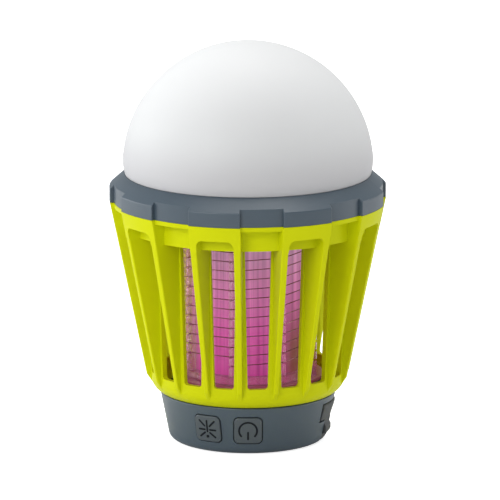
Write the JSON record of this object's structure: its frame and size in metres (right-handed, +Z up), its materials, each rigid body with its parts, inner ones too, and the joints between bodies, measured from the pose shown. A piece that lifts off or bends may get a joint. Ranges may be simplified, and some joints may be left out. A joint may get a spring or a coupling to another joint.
{
  "type": "rechargeable camping lantern bug zapper",
  "caption": "Domed camping lantern over a finned cage that holds a wire-wound high-voltage grid round a violet lamp, on a tapered base with push buttons and a folding hook.",
  "frame": {"origin": "middle of the flat bottom face, on the lantern's axis", "axes": "+Z up along the axis to the dome, -Y front, midway between the two buttons, +X the charging socket's side"},
  "size_m": [0.09, 0.0895, 0.131],
  "materials": {
    "lime_plastic": "smooth moulded ABS, soft gloss",
    "slate_plastic": "fine satin texture",
    "button_plastic": "fine satin texture",
    "frosted_plastic": "milky, satin",
    "flap_rubber": "soft matt",
    "seal_rubber": "matt",
    "screw_steel": "zinc plated",
    "grid_wire_steel": "drawn wire",
    "grid_plastic": "translucent, satin",
    "violet_tube": "frosted, glows violet",
    "printed_board": "green solder mask",
    "lamp_board_white": "white solder mask",
    "white_plastic": "satin",
    "led_yellow": "phosphor gel",
    "led_violet": "clear gel",
    "cell_foil": "embossed foil",
    "foam_tape": "foam",
    "socket_metal": "plated",
    "black_plastic": "moulded",
    "ferrite": "sintered, dull",
    "winding_tape": "polyester tape",
    "capacitor_red": "dipped resin",
    "lead_insulation": "PVC insulation"
  },
  "bodies": {
    "base": {"base_housing": "slate_plastic", "bottom_cover": "slate_plastic", "cover_screws": "screw_steel", "base_deck": "grid_plastic", "main_board": "printed_board", "board_screws": "screw_steel", "battery_cell": "cell_foil", "battery_tape": "foam_tape", "usb_socket": "socket_metal", "side_switches": "black_plastic", "transformer_core": "ferrite", "transformer_coil": "winding_tape", "film_capacitors": "capacitor_red", "rectifier_diodes": "black_plastic", "control_chip": "black_plastic", "hook_pin": "screw_steel", "grid_lower_ring": "grid_plastic", "grid_upper_ring": "grid_plastic", "grid_posts": "grid_plastic", "grid_wire_live": "grid_wire_steel", "grid_wire_return": "grid_wire_steel", "grid_leads": "lead_insulation", "light_tube": "violet_tube", "uv_board": "printed_board", "uv_leds": "led_violet", "lamp_leads": "lead_insulation", "lamp_plate": "white_plastic", "lamp_board": "lamp_board_white", "white_leds": "led_yellow"},
    "gasket": {"shell_gasket": "seal_rubber"},
    "shell": {"cage": "lime_plastic", "collar": "slate_plastic", "collar_screws": "screw_steel", "dome": "frosted_plastic", "dome_seal": "seal_rubber"},
    "hook": {"hang_hook": "slate_plastic"},
    "power": {"power_button": "button_plastic"},
    "zap": {"zap_button": "button_plastic"},
    "flap": {"usb_flap": "flap_rubber"}
  },
  "joints": [
    {"name": "shell_lift", "type": "slide", "parent": "base", "child": "gasket", "axis": [0, 0, 1], "range_m": [0, 0.09]},
    {"name": "shell_twist", "type": "hinge", "parent": "gasket", "child": "shell", "pos_m": [0, 0, 0.0163], "axis": [0, 0, 1], "range_deg": [0, 40]},
    {"name": "hook_fold", "type": "hinge", "parent": "base", "child": "hook", "pos_m": [-0.013, 0, 0.0026], "axis": [0, 1, 0], "range_deg": [0, 90]},
    {"name": "power_press", "type": "slide", "parent": "base", "child": "power", "axis": [-0.247, 0.969, 0], "range_m": [0, 0.0006], "stiffness_N_per_m": 800, "springref_m": -0.0003},
    {"name": "zap_press", "type": "slide", "parent": "base", "child": "zap", "axis": [0.247, 0.969, 0], "range_m": [0, 0.0006], "stiffness_N_per_m": 800, "springref_m": -0.0003},
    {"name": "flap_open", "type": "hinge", "parent": "base", "child": "flap", "pos_m": [0.0249, 0, 0.0013], "axis": [0, 1, 0], "range_deg": [0, 75]}
  ]
}
